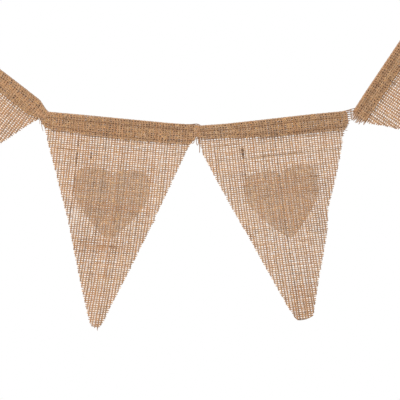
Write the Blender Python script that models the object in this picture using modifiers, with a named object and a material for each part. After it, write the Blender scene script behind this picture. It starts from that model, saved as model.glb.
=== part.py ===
"""Fabric bunting: four jute pennants with heart patches, hung on one twine.

The pennants hang in the XZ plane. Their turned hems face -Y, and their heart patches are on the +Y side.
The origin is the point where a hook bears in the left-hand loop of the twine.
Each pennant is modelled flat in its own frame, +X along its fold and -Z down the cloth, and then turned to the
slope at which it hangs.
"""

import math
from collections import namedtuple

import bmesh
import bpy
import numpy as np
from mathutils import Matrix, Vector

MM = 0.001
WELD = 0.01 * MM

# Cloth, twine and patch
CLOTH_THICK = 1.2 * MM
LAYER_GAP = 0.4 * MM
TWINE_DIAMETER = 1.5 * MM
TWINE_CLEAR = 0.35 * MM
PATCH_THICK = 0.8 * MM
PATCH_GAP = 0.5 * MM

# The casing: cloth turned over the twine, in a round channel that closes below it
CHANNEL_RADIUS = (TWINE_DIAMETER + CLOTH_THICK) / 2 + TWINE_CLEAR
CHANNEL_DEPTH = CHANNEL_RADIUS + CLOTH_THICK / 2
CHANNEL_FACES = 6
LAYER_OFFSET = (CLOTH_THICK + LAYER_GAP) / 2
CLOSING_DEPTH = 4 * MM
HANGS_PLUMB_BELOW = 16 * MM

# Depths of the cloth's rows under the fold: inside the hem and below it
HEM_ROWS = (4.8 * MM, 5.8 * MM)
HEM_SHARES = (0.45, 0.72, 1.0)
HEM_PASSES = 3
CLOTH_ROWS = tuple(depth * MM for depth in (4.8, 5.8, 10, 15, 20.5, 30, 45, 60, 78, 96, 114, 132, 150, 168, 184))
TIP_SHARES = (0.5, 1.0)
COLUMNS = 12
GATHER_SHARES = (0.94, 0.957, 0.972, 0.986)
GATHER_FADES = 40 * MM
FOLDS_START = 14 * MM
FOLDS_FULL = 60 * MM

# Twine ends: a run out of the casing, a knot and a loop for a hook
KNOT_OUT = 14 * MM
KNOT_LONG = 4.5 * MM
LOOP_LONG = 27 * MM
LOOP_WIDE = 13 * MM
LOOP_POINTS = 14
LEG_GAP = 1.9 * MM
TAIL_LONG = 10 * MM
TAIL_SPREAD = 2.3 * MM
KNOT_WRAP_RADIUS = 1.75 * MM
KNOT_WRAP_STEP = 1.2 * MM
KNOT_TILT = math.radians(12)
KNOT_SIDES = 8
KNOT_STEPS = 14
TWINE_STEP = 15 * MM
BEND_STEP = 3 * MM
TWINE_BENDS_OUT = 0.5 * MM

# Heart patches
HEART_NOTCH = 6 * MM
HEART_SHOULDER = 22 * MM
HEART_SQUARE = 4
HEART_SIDE = 27 * MM
HEART_POINTED = 1.2
HEART_FULL = 0.85
HEART_COLUMNS = 12
HEART_ROWS = 5

JUTE_COLOUR = (0.46, 0.27, 0.14, 1)
TWINE_COLOUR = (0.40, 0.24, 0.12, 1)
PATCH_COLOUR = (0.58, 0.45, 0.37, 1)

# All tables below are in millimetres
Edge = namedtuple("Edge", "depth left right")
Hem = namedtuple("Hem", "across depth")
Bend = namedtuple("Bend", "across depth wide tall height")
Gather = namedtuple("Gather", "start full drop squeeze")
Heart = namedtuple("Heart", "across depth wide tall turn_deg")
Pennant = namedtuple("Pennant", "name place slope_deg edges hems bends gather heart")

PENNANTS = (
    Pennant(
        name="pennant_1",
        place=(0.0, 0.0),
        slope_deg=37.23,
        edges=(
            Edge(0, 3.0, 154.0),
            Edge(4.8, 3.0, 154.0),
            Edge(5.8, 1.0, 155.6),
            Edge(14.0, 2.6, 155.0),
            Edge(21.0, 5.5, 150.6),
            Edge(30.0, 9.0, 145.3),
            Edge(57.0, 18.6, 135.4),
            Edge(100, 36.2, 119.6),
            Edge(150, 56.4, 101.2),
            Edge(192, 73.4, 86.3),
            Edge(201, 78.2, 82.6),
        ),
        hems=(Hem(0, 17.6), Hem(50, 18.6), Hem(106, 18.3), Hem(143, 18.9), Hem(158, 18.2)),
        bends=(
            Bend(30, 75, 26, 52, 3.6),
            Bend(118, 95, 24, 60, -4.2),
            Bend(76, 205, 40, 46, 6.0),
        ),
        gather=Gather(start=138.5, full=154, drop=4.0, squeeze=0.60),
        heart=Heart(77, 48, 70, 68, -2.0),
    ),
    Pennant(
        name="pennant_2",
        place=(122.0, -97.5),
        slope_deg=4.49,
        edges=(
            Edge(0, 1.6, 141.0),
            Edge(5.6, 1.6, 141.2),
            Edge(7.6, -7.4, 141.6),
            Edge(13.5, -5.8, 141.6),
            Edge(19.5, -3.2, 136.3),
            Edge(28.6, 1.1, 132.8),
            Edge(57.0, 9.9, 122.2),
            Edge(101.6, 25.0, 105.3),
            Edge(142.3, 36.0, 89.2),
            Edge(178, 45.9, 74.2),
            Edge(197, 52.6, 66.6),
            Edge(204.6, 57.6, 62.6),
        ),
        hems=(Hem(-8, 13.5), Hem(1, 17.1), Hem(20, 18.4), Hem(50, 20.4), Hem(93, 21.0), Hem(130, 20.2), Hem(142, 19.0)),
        bends=(
            Bend(20, 92, 22, 46, -3.8),
            Bend(96, 70, 30, 48, 3.4),
            Bend(84, 150, 18, 36, -2.6),
            Bend(58, 212, 36, 40, -6.5),
        ),
        gather=None,
        heart=Heart(64.4, 49.7, 72, 69, -1.0),
    ),
    Pennant(
        name="pennant_3",
        place=(266.2, -109.5),
        slope_deg=-5.75,
        edges=(
            Edge(0, -0.6, 144.6),
            Edge(4.8, -1.2, 144.0),
            Edge(8.0, -3.0, 142.0),
            Edge(12.5, -4.4, 140.2),
            Edge(16.0, -2.4, 137.8),
            Edge(29.0, 0.4, 135.2),
            Edge(54.4, 10.6, 128.4),
            Edge(72.6, 18.4, 122.2),
            Edge(93.8, 27.6, 114.6),
            Edge(113, 36.4, 112.4),
            Edge(155, 54.6, 100.2),
            Edge(184, 67.2, 93.0),
            Edge(197.4, 74.8, 89.2),
        ),
        hems=(Hem(-3, 12.0), Hem(4, 13.4), Hem(28, 14.8), Hem(47, 16.7), Hem(63, 17.9), Hem(95, 19.3), Hem(140, 19.8)),
        bends=(
            Bend(117, 92, 13, 34, 5.2),
            Bend(96, 120, 16, 44, -2.8),
            Bend(34, 84, 24, 40, 3.6),
            Bend(84, 206, 34, 38, 5.6),
        ),
        gather=None,
        heart=Heart(71.3, 50, 71, 68, -4.5),
    ),
    Pennant(
        name="pennant_4",
        place=(413.9, -96.1),
        slope_deg=-56.16,
        edges=(
            Edge(0, 3.2, 143.5),
            Edge(4.8, 3.2, 143.5),
            Edge(5.8, -6.2, 145.5),
            Edge(9.0, -6.0, 144.6),
            Edge(14.0, -4.4, 142.4),
            Edge(20.4, -1.2, 138.8),
            Edge(32.4, 4.7, 132.4),
            Edge(45.0, 9.5, 127.2),
            Edge(100, 30.8, 105.6),
            Edge(150, 50.4, 86.0),
            Edge(190, 65.6, 72.6),
            Edge(198, 67.4, 71.6),
        ),
        hems=(Hem(-6, 15.2), Hem(18, 16.6), Hem(47, 16.2), Hem(90, 17.4), Hem(146, 16.4)),
        bends=(
            Bend(24, 62, 20, 44, -3.6),
            Bend(104, 84, 26, 50, 4.0),
            Bend(70, 206, 36, 44, -5.6),
        ),
        gather=None,
        heart=Heart(69, 48, 70, 68, 2.0),
    ),
)


def eased(value):
    """0 below 0, 1 above 1, and a smooth step between."""
    value = min(max(value, 0.0), 1.0)
    return value * value * (3 - 2 * value)


def column_of(rows, name):
    return [getattr(row, name) * MM for row in rows]


def edges_at(pennant, depth):
    """Where the cut edges lie at a depth under the fold."""
    depths = column_of(pennant.edges, "depth")
    left = np.interp(depth, depths, column_of(pennant.edges, "left"))
    right = np.interp(depth, depths, column_of(pennant.edges, "right"))
    return float(left), float(right)


def hem_at(pennant, across):
    return float(np.interp(across, column_of(pennant.hems, "across"), column_of(pennant.hems, "depth")))


def fold_drop(pennant, across):
    """How far the fold sags at the gathered end of a casing."""
    gather = pennant.gather
    if gather is None:
        return 0.0
    reach = (gather.full - gather.start) * MM
    return gather.drop * MM * eased((across - gather.start * MM) / reach)


def hung_depth(pennant, across, depth):
    """The depth once the gathered end of the casing has sagged and been squeezed together."""
    if pennant.gather is None:
        return depth
    drop = fold_drop(pennant, across)
    channel_end = HEM_ROWS[0]
    hem = hem_at(pennant, across)
    squeeze = pennant.gather.squeeze * drop / (pennant.gather.drop * MM)
    if depth <= channel_end:
        return depth + drop
    if depth <= hem:
        return channel_end + drop + (depth - channel_end) * (1 - squeeze)
    pulled = drop - (hem - channel_end) * squeeze
    return depth + pulled * (1 - eased((depth - hem) / GATHER_FADES))


def folds_at(pennant, across, depth):
    """How far the cloth stands out of its plane, in soft ridges and troughs."""
    height = 0.0
    for bend in pennant.bends:
        sideways = (across - bend.across * MM) / (bend.wide * MM)
        down = (depth - bend.depth * MM) / (bend.tall * MM)
        height += bend.height * MM * math.exp(-sideways * sideways - down * down)
    return height * eased((depth - FOLDS_START) / (FOLDS_FULL - FOLDS_START))


def on_cloth(pennant, across, depth, offset):
    """A point of the hung cloth in the pennant's frame, at an offset from its plane."""
    stands_out = folds_at(pennant, across, depth)
    return Vector((across, stands_out + offset, -hung_depth(pennant, across, depth)))


def layer_offset(pennant, across, depth):
    """Half the distance between the casing's two layers, wide at the channel and nearly closed under it."""
    closing = 1 - eased((depth - CHANNEL_DEPTH) / CLOSING_DEPTH)
    offset = LAYER_OFFSET + (CHANNEL_RADIUS - LAYER_OFFSET) * closing
    below = (depth - hem_at(pennant, across) - CLOTH_THICK) / HANGS_PLUMB_BELOW
    return offset * (1 - eased(below))


def section_rows():
    """The cloth's rows in order: up the turned hem, round the channel and down to the tip.

    Each is (side, kind, value): side is -1 for the hem and +1 for the cloth behind it.
    """
    rows = [(-1, "share", share) for share in reversed(HEM_SHARES)]
    rows += [(-1, "depth", depth) for depth in reversed(HEM_ROWS)]
    for step in range(CHANNEL_FACES + 1):
        rows.append((0, "turn", math.pi / 2 - math.pi * step / CHANNEL_FACES))
    rows += [(1, "depth", depth) for depth in CLOTH_ROWS]
    rows += [(1, "tip", share) for share in TIP_SHARES]
    return rows


def row_depth(pennant, row, across):
    """The depth of a row under the fold at one place along it. The hem's depth changes with that place."""
    side, kind, value = row
    if kind == "share":
        return hem_at(pennant, across) * value
    if kind == "turn":
        return CHANNEL_DEPTH - CHANNEL_RADIUS * math.cos(value)
    if kind == "tip":
        last = pennant.edges[-1].depth * MM
        return CLOTH_ROWS[-1] + (last - CLOTH_ROWS[-1]) * value
    return value


def row_offset(pennant, row, across, depth):
    side, kind, value = row
    if kind == "turn":
        return -CHANNEL_RADIUS * math.sin(value)
    return side * layer_offset(pennant, across, depth)


def column_shares(pennant):
    """Shares of the width at which the columns stand, closer together where the casing is gathered."""
    shares = [column / COLUMNS for column in range(COLUMNS + 1)]
    if pennant.gather is not None:
        shares[-1:-1] = GATHER_SHARES
    return shares


def linked(collection, name, mesh, colour):
    """A new object with its own material, in a collection."""
    made = bpy.data.objects.new(name, mesh)
    collection.objects.link(made)
    finish = bpy.data.materials.new(name + "_finish")
    finish.use_nodes = True
    shader = finish.node_tree.nodes["Principled BSDF"]
    shader.inputs["Base Color"].default_value = colour
    shader.inputs["Roughness"].default_value = 0.9
    shader.inputs["Metallic"].default_value = 0.0
    made.data.materials.append(finish)
    return made


def sheet_of(collection, name, columns, rows, point_at, thick, colour):
    """A grid laid on the point that point_at gives for each column and row, then given its thickness."""
    grid = bmesh.new()
    bmesh.ops.create_grid(grid, x_segments=columns, y_segments=rows, size=0.5)
    for vertex in grid.verts:
        column = round((vertex.co.x + 0.5) * columns)
        row = round((vertex.co.y + 0.5) * rows)
        vertex.co = point_at(column, row)
    mesh = bpy.data.meshes.new(name)
    grid.to_mesh(mesh)
    grid.free()
    mesh.shade_smooth()
    made = linked(collection, name, mesh, colour)
    shell = made.modifiers.new("thickness", "SOLIDIFY")
    shell.thickness = thick
    shell.offset = 0
    return made


def make_pennant(collection, pennant):
    """One piece of hessian with its top turned over the twine, hanging in soft folds."""
    rows = section_rows()
    shares = column_shares(pennant)

    def point_at(column, row):
        across = 0.0
        for _ in range(HEM_PASSES):
            depth = row_depth(pennant, rows[row], across)
            left, right = edges_at(pennant, depth)
            across = left + (right - left) * shares[column]
        offset = row_offset(pennant, rows[row], across, depth)
        return on_cloth(pennant, across, depth, offset)

    made = sheet_of(
        collection, pennant.name, len(shares) - 1, len(rows) - 1, point_at, CLOTH_THICK, JUTE_COLOUR
    )
    made.location = (pennant.place[0] * MM, 0, pennant.place[1] * MM)
    made.rotation_euler = (0, math.radians(pennant.slope_deg), 0)
    return made


def heart_edges(heart, share):
    """How far down the heart's upper and lower edges lie at a share of its half width."""
    off_lobe = abs(2 * share - 1)
    notch = HEART_NOTCH * (1 - math.sqrt(1 - off_lobe**2))
    shoulder = HEART_SHOULDER * (1 - (1 - off_lobe**HEART_SQUARE) ** (1 / HEART_SQUARE))
    top = notch if share < 0.5 else shoulder
    fullness = (1 - share**HEART_POINTED) ** HEART_FULL
    return top, HEART_SIDE + (heart.tall * MM - HEART_SIDE) * fullness


def make_heart(collection, pennant, carrier):
    """A heart cut from thin felt, lying on the far face of its pennant."""
    heart = pennant.heart
    turn = Matrix.Rotation(math.radians(heart.turn_deg), 2)
    stands_off = CLOTH_THICK / 2 + PATCH_GAP + PATCH_THICK / 2

    def point_at(column, row):
        sideways = math.sin((column / HEART_COLUMNS - 0.5) * math.pi)
        top, bottom = heart_edges(heart, abs(sideways))
        spot = turn @ Vector((sideways * heart.wide * MM / 2, top + (bottom - top) * row / HEART_ROWS))
        across = heart.across * MM + spot.x
        depth = heart.depth * MM + spot.y
        offset = layer_offset(pennant, across, depth) + stands_off
        return on_cloth(pennant, across, depth, offset)

    name = pennant.name.replace("pennant", "heart")
    made = sheet_of(collection, name, HEART_COLUMNS, HEART_ROWS, point_at, PATCH_THICK, PATCH_COLOUR)
    made.parent = carrier
    return made


def stations(first, last, step):
    """Even places along a stretch, its two ends among them."""
    count = max(1, round((last - first) / step))
    return [first + (last - first) * place / count for place in range(count + 1)]


def twine_run(carriers):
    """Points along the twine inside the four casings, between its two knots."""
    run = []
    for pennant in PENNANTS:
        first = pennant.edges[0].left * MM - TWINE_BENDS_OUT
        last = pennant.edges[0].right * MM + TWINE_BENDS_OUT
        if pennant is PENNANTS[0]:
            first = -KNOT_OUT
        if pennant is PENNANTS[-1]:
            last += KNOT_OUT
        places = stations(first, last, TWINE_STEP)
        if pennant.gather is not None:
            bend = pennant.gather.start * MM
            places = stations(first, bend, TWINE_STEP) + stations(bend, last, BEND_STEP)[1:]
        to_world = carriers[pennant.name].matrix_basis
        for across in places:
            local = Vector((across, 0, -CHANNEL_DEPTH - fold_drop(pennant, across)))
            run.append(to_world @ local)
    return run


def end_frame(knot, inner):
    """The way out of a knot along the twine, and the way down square to it."""
    outward = (knot - inner).normalized()
    sideways = Vector((-outward.z, 0, outward.x)) * math.copysign(1, -outward.x)
    return outward, sideways


def twine_end(knot, outward, sideways):
    """From the knot round the loop, back through the knot and out into a short tail."""
    points = []
    for step in range(LOOP_POINTS + 1):
        share = step / LOOP_POINTS
        turn = 2 * math.pi * share
        along = KNOT_LONG / 2 + (LOOP_LONG - KNOT_LONG / 2) * (1 - math.cos(turn)) / 2
        bulge = LOOP_WIDE / 2 * math.sin(turn) * math.sin(turn / 2)
        aside = LEG_GAP * share - bulge
        points.append(knot + outward * along + sideways * aside)
    points.append(knot - outward * KNOT_LONG / 2 + sideways * LEG_GAP)
    points.append(knot - outward * TAIL_LONG / 2 + sideways * (LEG_GAP + TAIL_SPREAD / 3))
    points.append(knot - outward * TAIL_LONG + sideways * (LEG_GAP + TAIL_SPREAD))
    return points


def tube(name, points):
    """A mesh tube of the twine's thickness along the points, with its caps joined on."""
    curve = bpy.data.curves.new(name, "CURVE")
    curve.dimensions = "3D"
    curve.bevel_depth = TWINE_DIAMETER / 2
    curve.bevel_resolution = 2
    curve.use_fill_caps = True
    spline = curve.splines.new("POLY")
    spline.points.add(len(points) - 1)
    for place, point in zip(spline.points, points):
        place.co = (*point, 1)
    guide = bpy.data.objects.new(name, curve)
    bpy.context.scene.collection.objects.link(guide)
    bpy.context.view_layer.update()
    graph = bpy.context.evaluated_depsgraph_get()
    mesh = bpy.data.meshes.new_from_object(guide.evaluated_get(graph))
    welded = bmesh.new()
    welded.from_mesh(mesh)
    bmesh.ops.remove_doubles(welded, verts=welded.verts, dist=WELD)
    welded.to_mesh(mesh)
    welded.free()
    mesh.shade_smooth()
    bpy.data.objects.remove(guide)
    bpy.data.curves.remove(curve)
    return mesh


def knot_wraps(centre, outward):
    """Two turns of the twine round its two legs, which make the knot."""
    meshes = []
    for place in (-0.5, 0.5):
        wrap = bmesh.new()
        ring = bmesh.ops.create_circle(wrap, segments=KNOT_SIDES, radius=TWINE_DIAMETER / 2)["verts"]
        bmesh.ops.rotate(wrap, verts=ring, matrix=Matrix.Rotation(math.pi / 2, 3, "X"))
        bmesh.ops.translate(wrap, verts=ring, vec=(KNOT_WRAP_RADIUS, 0, 0))
        bmesh.ops.spin(wrap, geom=wrap.edges[:], axis=(0, 0, 1), angle=2 * math.pi, steps=KNOT_STEPS)
        bmesh.ops.remove_doubles(wrap, verts=wrap.verts, dist=WELD)
        bmesh.ops.recalc_face_normals(wrap, faces=wrap.faces)
        tilt = Matrix.Rotation(math.copysign(KNOT_TILT, place), 4, "X")
        turned = outward.to_track_quat("Z", "Y").to_matrix().to_4x4()
        wrap.transform(Matrix.Translation(centre + outward * place * KNOT_WRAP_STEP) @ turned @ tilt)
        mesh = bpy.data.meshes.new("wrap")
        wrap.to_mesh(mesh)
        wrap.free()
        mesh.shade_smooth()
        meshes.append(mesh)
    return meshes


def make_twine(parts, cutters, carriers):
    """One twine runs whole through all four casings, and is knotted into a loop at each end."""
    run = twine_run(carriers)
    left_way, left_side = end_frame(run[0], run[1])
    right_way, right_side = end_frame(run[-1], run[-2])
    left_end = twine_end(run[0], left_way, left_side)
    right_end = twine_end(run[-1], right_way, right_side)
    route = left_end[::-1] + run[1:-1] + right_end
    body = linked(parts, "twine", tube("twine", route), TWINE_COLOUR)
    wraps = knot_wraps(run[0] + left_side * LEG_GAP / 2, left_way)
    wraps += knot_wraps(run[-1] + right_side * LEG_GAP / 2, right_way)
    for number, mesh in enumerate(wraps):
        cutter = bpy.data.objects.new(f"knot_turn_{number}", mesh)
        cutters.objects.link(cutter)
        cutter.hide_render = True
        cutter.display_type = "WIRE"
        union = body.modifiers.new(cutter.name, "BOOLEAN")
        union.operation = "UNION"
        union.object = cutter
    hook = run[0] + left_way * (LOOP_LONG - TWINE_DIAMETER / 2) + left_side * LEG_GAP / 2
    return body, hook


def main():
    for old in list(bpy.data.objects):
        bpy.data.objects.remove(old)
    parts = bpy.data.collections.new("fabric_bunting")
    cutters = bpy.data.collections.new("twine_ends")
    bpy.context.scene.collection.children.link(parts)
    bpy.context.scene.collection.children.link(cutters)
    bunting = bpy.data.objects.new("bunting", None)
    parts.objects.link(bunting)
    carriers = {}
    for pennant in PENNANTS:
        carrier = make_pennant(parts, pennant)
        carrier.parent = bunting
        carriers[pennant.name] = carrier
        make_heart(parts, pennant, carrier)
    twine, hook = make_twine(parts, cutters, carriers)
    twine.parent = bunting
    for turn in cutters.objects:
        turn.parent = bunting
    bunting.location = -hook


main()
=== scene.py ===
"""Fabric bunting: the looks of four hessian pennants on a jute twine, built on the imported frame."""

import math
from collections import namedtuple

import bmesh
import bpy
import numpy as np
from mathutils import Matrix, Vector


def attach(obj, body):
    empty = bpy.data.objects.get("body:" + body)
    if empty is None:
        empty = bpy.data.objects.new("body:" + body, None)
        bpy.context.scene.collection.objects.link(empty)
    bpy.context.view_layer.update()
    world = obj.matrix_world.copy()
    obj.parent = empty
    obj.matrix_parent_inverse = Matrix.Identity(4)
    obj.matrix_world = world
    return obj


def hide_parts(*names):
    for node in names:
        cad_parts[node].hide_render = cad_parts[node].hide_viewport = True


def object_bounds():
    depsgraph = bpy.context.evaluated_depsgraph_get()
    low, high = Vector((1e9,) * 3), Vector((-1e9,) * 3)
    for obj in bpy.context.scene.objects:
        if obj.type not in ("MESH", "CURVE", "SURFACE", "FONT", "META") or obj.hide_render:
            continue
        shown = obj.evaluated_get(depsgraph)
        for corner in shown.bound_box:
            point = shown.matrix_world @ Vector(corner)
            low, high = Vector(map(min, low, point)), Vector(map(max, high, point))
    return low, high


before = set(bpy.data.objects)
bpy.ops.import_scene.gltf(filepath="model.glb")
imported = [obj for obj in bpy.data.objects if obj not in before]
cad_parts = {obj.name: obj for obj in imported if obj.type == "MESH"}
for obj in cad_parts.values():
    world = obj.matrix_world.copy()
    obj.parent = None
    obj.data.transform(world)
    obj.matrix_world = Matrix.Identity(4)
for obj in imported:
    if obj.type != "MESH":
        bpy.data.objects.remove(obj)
cad_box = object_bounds()

# Camera, light and floor
# The bunting hangs face on in a white studio, and a long lens sees its middle stretch from the side of the hems.
# The floor is a pale sheet well below the pennants' tips, under the lower edge of the picture.
MM = 0.001
PIXEL = 0.965 * MM
PICTURE_WIDE = 400 * PIXEL
PICTURE_MIDDLE = (300.25 * MM, -203.9 * MM)
CAMERA_AWAY = 2.4
SENSOR = 36.0
FLOOR_DROP = 0.16
FLOOR_SIZE = 3.0
FLOOR_NEARER = 0.7
ROOM_LIGHT = 1.0
KEY_POWER = 19.6
KEY_SIZE = 0.9

camera_data = bpy.data.cameras.new("studio_camera")
camera_data.sensor_width = SENSOR
camera_data.lens = SENSOR * CAMERA_AWAY / PICTURE_WIDE
camera = bpy.data.objects.new("studio_camera", camera_data)
camera.location = (PICTURE_MIDDLE[0], -CAMERA_AWAY, PICTURE_MIDDLE[1])
camera.rotation_euler = (math.pi / 2, 0, 0)
bpy.context.scene.collection.objects.link(camera)
bpy.context.scene.camera = camera
bpy.context.scene.view_settings.view_transform = "Standard"

key_data = bpy.data.lights.new("soft_key", "AREA")
key_data.shape = "SQUARE"
key_data.size = KEY_SIZE
key_data.energy = KEY_POWER
key = bpy.data.objects.new("soft_key", key_data)
key.location = (PICTURE_MIDDLE[0] - 0.7, -1.0, PICTURE_MIDDLE[1] + 0.9)
aim = Vector((PICTURE_MIDDLE[0], 0, PICTURE_MIDDLE[1])) - key.location
key.rotation_euler = aim.to_track_quat("-Z", "Y").to_euler()
bpy.context.scene.collection.objects.link(key)

room = bpy.data.worlds.new("white_studio")
room.use_nodes = True
room_nodes = room.node_tree.nodes
room_glow = room_nodes["Background"]
room_glow.inputs["Color"].default_value = (1, 1, 1, 1)
room_glow.inputs["Strength"].default_value = ROOM_LIGHT
bpy.context.scene.world = room


def plain_finish(name, colour, roughness):
    """A material with one colour and roughness on its Principled BSDF, to which patterns are added."""
    finish = bpy.data.materials.new(name)
    finish.use_nodes = True
    shader = finish.node_tree.nodes["Principled BSDF"]
    shader.inputs["Base Color"].default_value = (*colour, 1)
    shader.inputs["Roughness"].default_value = roughness
    return finish, shader


floor_shape = bmesh.new()
bmesh.ops.create_grid(floor_shape, x_segments=1, y_segments=1, size=FLOOR_SIZE / 2)
floor_height = cad_box[0][2] - FLOOR_DROP
bmesh.ops.translate(floor_shape, verts=floor_shape.verts, vec=(PICTURE_MIDDLE[0], -FLOOR_NEARER, floor_height))
floor_mesh = bpy.data.meshes.new("studio_floor")
floor_shape.to_mesh(floor_mesh)
floor_shape.free()
floor = bpy.data.objects.new("studio_floor", floor_mesh)
bpy.context.scene.collection.objects.link(floor)
floor_finish, floor_shader = plain_finish("pale_floor", (0.86, 0.86, 0.85), 0.7)
floor.data.materials.append(floor_finish)

# Twine
# Two-ply jute string, about 1.5 mm thick, threaded whole through all four casings and pulled taut between two hooks.
# Each end is doubled back into a loop and bound with a knot, from which a short tail sticks out.
TWINE_PLIES = 2
PLY_DIAMETER = 0.86 * MM
PLY_TURN = 5.2 * MM
CHANNEL_RADIUS = 1.7 * MM
CHANNEL_DEPTH = 2.3 * MM
KNOT_OUT = 14 * MM
KNOT_LONG = 4.5 * MM
LOOP_LONG = 27 * MM
LOOP_WIDE = 13 * MM
LEG_GAP = 1.9 * MM
TAIL_LONG = 10 * MM
TAIL_SPREAD = 2.3 * MM
TWINE_BENDS_OUT = 0.5 * MM
TWINE_STEP = 0.8 * MM
TWINE_SIDES = 7

# Where each pennant's casing hangs: its corner, its slope, and where its channel starts and ends, in millimetres
Hang = namedtuple("Hang", "name corner slope_deg start end")
HANGS = (
    Hang("pennant_1", (34.01, -21.76), 37.23, 3.0, 154.0),
    Hang("pennant_2", (156.01, -119.26), 4.49, 1.6, 141.0),
    Hang("pennant_3", (300.21, -131.26), -5.75, -0.6, 144.6),
    Hang("pennant_4", (447.91, -117.86), -56.16, 3.2, 143.5),
)
# The first casing is gathered at its right-hand end, where it sags and is squeezed together
GATHER_START = 138.5 * MM
GATHER_FULL = 154.0 * MM
GATHER_DROP = 4.0 * MM
GATHER_SQUEEZE = 0.60
GATHER_FADES = 40 * MM
GATHERED = "pennant_1"


def eased(value):
    """0 below 0, 1 above 1, and a smooth step between."""
    value = np.clip(value, 0.0, 1.0)
    return value * value * (3 - 2 * value)


def fold_drop(hang, across):
    if hang.name != GATHERED:
        return np.zeros_like(across)
    return GATHER_DROP * eased((across - GATHER_START) / (GATHER_FULL - GATHER_START))


def placed(hang, across, out, depth):
    """World points from places across a pennant, out of its plane and down from its fold."""
    slope = math.radians(hang.slope_deg)
    x = hang.corner[0] * MM + across * math.cos(slope) - depth * math.sin(slope)
    z = hang.corner[1] * MM - across * math.sin(slope) - depth * math.cos(slope)
    return np.stack([x, out + 0 * x, z], axis=-1)


def twine_end(knot, inner):
    """From a knot round its loop, back through the knot and out into a short tail."""
    outward = (knot - inner) / np.linalg.norm(knot - inner)
    aside = np.array([-outward[2], 0, outward[0]]) * math.copysign(1, -outward[0])
    share = np.linspace(0, 1, 41)
    turn = 2 * np.pi * share
    along = KNOT_LONG / 2 + (LOOP_LONG - KNOT_LONG / 2) * (1 - np.cos(turn)) / 2
    wide = LEG_GAP * share - LOOP_WIDE / 2 * np.sin(turn) * np.sin(turn / 2)
    tail_along = np.array([-KNOT_LONG / 2, -TAIL_LONG / 2, -TAIL_LONG])
    tail_wide = LEG_GAP + TAIL_SPREAD * np.array([0, 1 / 3, 1])
    along = np.concatenate([along, tail_along])
    wide = np.concatenate([wide, tail_wide])
    return knot + along[:, None] * outward + wide[:, None] * aside, outward, aside


run = []
for hang in HANGS:
    start = hang.start * MM - TWINE_BENDS_OUT
    end = hang.end * MM + TWINE_BENDS_OUT
    if hang is HANGS[0]:
        start = -KNOT_OUT
    if hang is HANGS[-1]:
        end += KNOT_OUT
    places = np.linspace(start, end, 12)
    if hang.name == GATHERED:
        places = np.concatenate([np.linspace(start, GATHER_START, 11), np.linspace(GATHER_START, end, 6)[1:]])
    run.append(placed(hang, places, 0, CHANNEL_DEPTH + fold_drop(hang, places)))
run = np.concatenate(run)
left_end, left_out, left_aside = twine_end(run[0], run[1])
right_end, right_out, right_aside = twine_end(run[-1], run[-2])
twine_route = np.concatenate([left_end[::-1], run[1:-1], right_end])


def spaced(points, step):
    """The same route with its points an even step apart."""
    lengths = np.linalg.norm(np.diff(points, axis=0), axis=1)
    along = np.concatenate([[0], np.cumsum(lengths)])
    places = np.linspace(0, along[-1], max(2, round(along[-1] / step)) + 1)
    return np.stack([np.interp(places, along, points[:, axis]) for axis in range(3)], axis=1)


def softened(points, passes):
    """The route with its corners eased, its two ends kept."""
    for _ in range(passes):
        points[1:-1] = points[1:-1] / 2 + (points[:-2] + points[2:]) / 4
    return points


Strand = namedtuple("Strand", "points up wide thick tone hue")


def tangents(points):
    ways = np.gradient(points, axis=0)
    return ways / np.maximum(np.linalg.norm(ways, axis=1, keepdims=True), 1e-12)


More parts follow.
